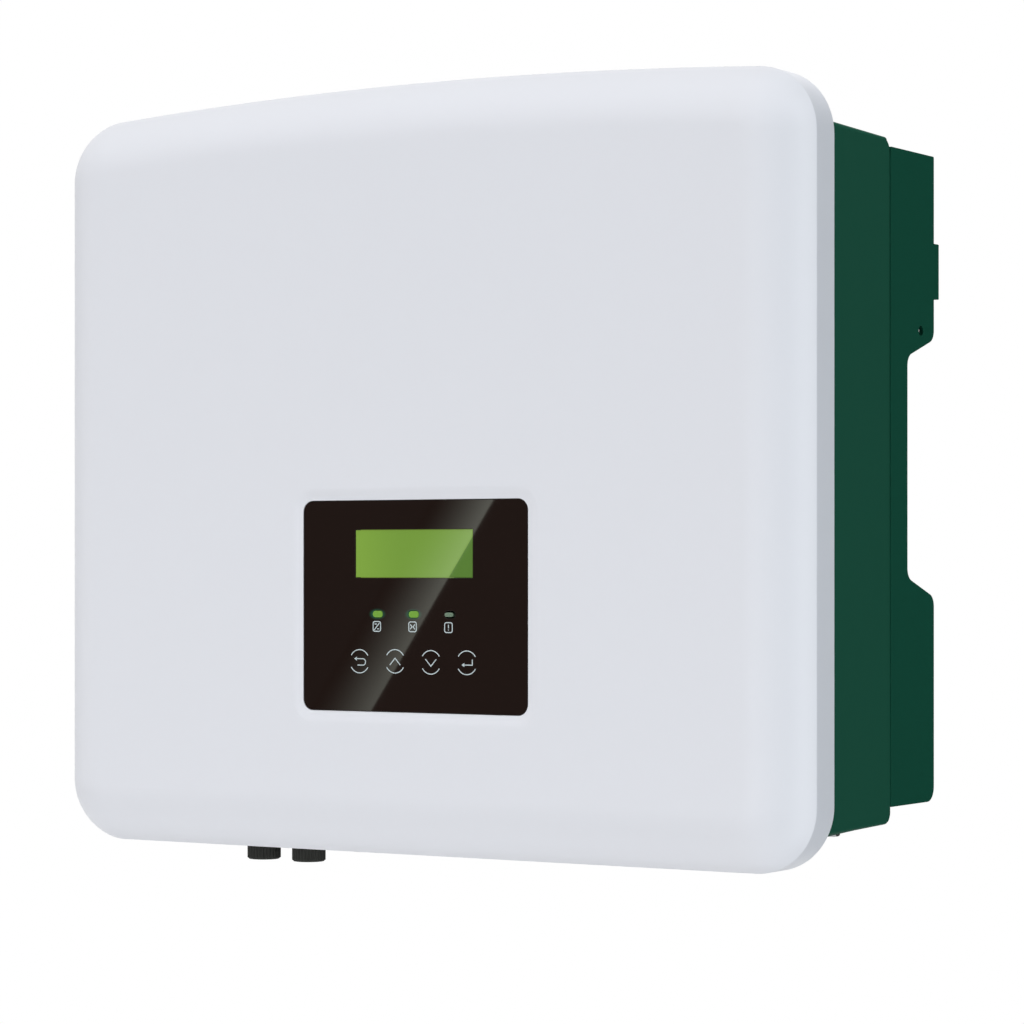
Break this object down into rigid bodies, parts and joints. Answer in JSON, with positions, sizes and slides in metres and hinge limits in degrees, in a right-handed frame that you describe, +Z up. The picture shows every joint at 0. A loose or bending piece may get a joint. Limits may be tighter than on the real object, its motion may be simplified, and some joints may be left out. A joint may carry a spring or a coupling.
{
  "type": "string inverter",
  "caption": "Wall-hung string inverter with a rounded white cover, display panel, green finned housing, side plates with grips, hanger bar, capped sockets and a rotary DC switch.",
  "frame": {"origin": "middle of the hanger bar's rear face, in the plane that bears on the wall bracket, on the part's centre line", "axes": "+X to the right as seen from the front, +Y towards the wall, +Z up; the cover's face looks along -Y"},
  "size_m": [0.5015, 0.181, 0.4334],
  "materials": {
    "cover_white": "satin white moulding",
    "housing_green": "fine powder coat, dark green",
    "plate_green": "fine powder coat, dark green",
    "sink_green": "dark green coated extrusion",
    "panel_black": "high gloss black",
    "lcd_green": "backlit yellow-green",
    "lamp_green": "lit green light pipe",
    "lamp_grey": "unlit frosted light pipe",
    "black_plastic": "black moulding",
    "rubber_black": "matt black rubber",
    "screw_steel": "stainless",
    "board_green": "circuit board",
    "can_dark": "capacitor sleeve",
    "choke_metal": "cast choke box"
  },
  "bodies": {
    "inverter": {"front_cover": "cover_white", "cover_gasket": "rubber_black", "display_lens": "panel_black", "display_frame": "black_plastic", "lcd_module": "lcd_green", "display_board": "board_green", "led_pipe_left": "lamp_green", "led_pipe_middle": "lamp_green", "led_pipe_right": "lamp_grey", "main_housing": "housing_green", "heat_sink": "sink_green", "side_plate_left": "plate_green", "side_plate_right": "plate_green", "hanger_bar": "plate_green", "cover_screw_1": "screw_steel", "cover_screw_2": "screw_steel", "cover_screw_3": "screw_steel", "cover_screw_4": "screw_steel", "cover_screw_5": "screw_steel", "cover_screw_6": "screw_steel", "left_plate_screw_1": "screw_steel", "left_plate_screw_2": "screw_steel", "left_plate_screw_3": "screw_steel", "right_plate_screw_1": "screw_steel", "right_plate_screw_2": "screw_steel", "right_plate_screw_3": "screw_steel", "pv_socket_1": "black_plastic", "pv_socket_2": "black_plastic", "pv_socket_3": "black_plastic", "pv_socket_4": "black_plastic", "battery_socket_1": "black_plastic", "battery_socket_2": "black_plastic", "grid_socket": "black_plastic", "backup_socket": "black_plastic", "comm_cover": "black_plastic", "monitor_port": "black_plastic", "vent_plug": "black_plastic", "ground_screw_1": "screw_steel", "ground_screw_2": "screw_steel", "dc_switch_plate": "black_plastic", "dc_switch_body": "black_plastic", "power_board": "board_green", "capacitor_bank": "can_dark", "power_module": "black_plastic", "choke_1": "choke_metal", "choke_2": "choke_metal", "choke_3": "choke_metal", "control_board": "board_green"},
    "dc_switch": {"dc_switch_knob": "black_plastic"},
    "pv_cap_1_body": {"pv_cap_1": "rubber_black"},
    "pv_cap_2_body": {"pv_cap_2": "rubber_black"},
    "pv_cap_3_body": {"pv_cap_3": "rubber_black"},
    "pv_cap_4_body": {"pv_cap_4": "rubber_black"},
    "battery_cap_1_body": {"battery_cap_1": "rubber_black"},
    "battery_cap_2_body": {"battery_cap_2": "rubber_black"},
    "grid_cap_body": {"grid_cap": "rubber_black"},
    "backup_cap_body": {"backup_cap": "rubber_black"},
    "monitor_cap_body": {"monitor_cap": "rubber_black"},
    "comm_plug_1_body": {"comm_plug_1": "rubber_black"},
    "comm_plug_2_body": {"comm_plug_2": "rubber_black"}
  },
  "joints": [
    {"name": "dc_switch_turn", "type": "hinge", "parent": "inverter", "child": "dc_switch", "pos_m": [-0.2422, -0.1007, -0.2389], "axis": [-1, 0, 0], "range_deg": [0, 90]},
    {"name": "pv_cap_1_pull", "type": "slide", "parent": "inverter", "child": "pv_cap_1_body", "axis": [0, 0, -1], "range_m": [0, 0.024]},
    {"name": "pv_cap_2_pull", "type": "slide", "parent": "inverter", "child": "pv_cap_2_body", "axis": [0, 0, -1], "range_m": [0, 0.024]},
    {"name": "pv_cap_3_pull", "type": "slide", "parent": "inverter", "child": "pv_cap_3_body", "axis": [0, 0, -1], "range_m": [0, 0.016]},
    {"name": "pv_cap_4_pull", "type": "slide", "parent": "inverter", "child": "pv_cap_4_body", "axis": [0, 0, -1], "range_m": [0, 0.016]},
    {"name": "battery_cap_1_pull", "type": "slide", "parent": "inverter", "child": "battery_cap_1_body", "axis": [0, 0, -1], "range_m": [0, 0.017]},
    {"name": "battery_cap_2_pull", "type": "slide", "parent": "inverter", "child": "battery_cap_2_body", "axis": [0, 0, -1], "range_m": [0, 0.016]},
    {"name": "grid_cap_pull", "type": "slide", "parent": "inverter", "child": "grid_cap_body", "axis": [0, 0, -1], "range_m": [0, 0.015]},
    {"name": "backup_cap_pull", "type": "slide", "parent": "inverter", "child": "backup_cap_body", "axis": [0, 0, -1], "range_m": [0, 0.015]},
    {"name": "monitor_cap_pull", "type": "slide", "parent": "inverter", "child": "monitor_cap_body", "axis": [0, 0, -1], "range_m": [0, 0.015]},
    {"name": "comm_plug_1_pull", "type": "slide", "parent": "inverter", "child": "comm_plug_1_body", "axis": [0, 0, -1], "range_m": [0, 0.024]},
    {"name": "comm_plug_2_pull", "type": "slide", "parent": "inverter", "child": "comm_plug_2_body", "axis": [0, 0, -1], "range_m": [0, 0.024]}
  ]
}
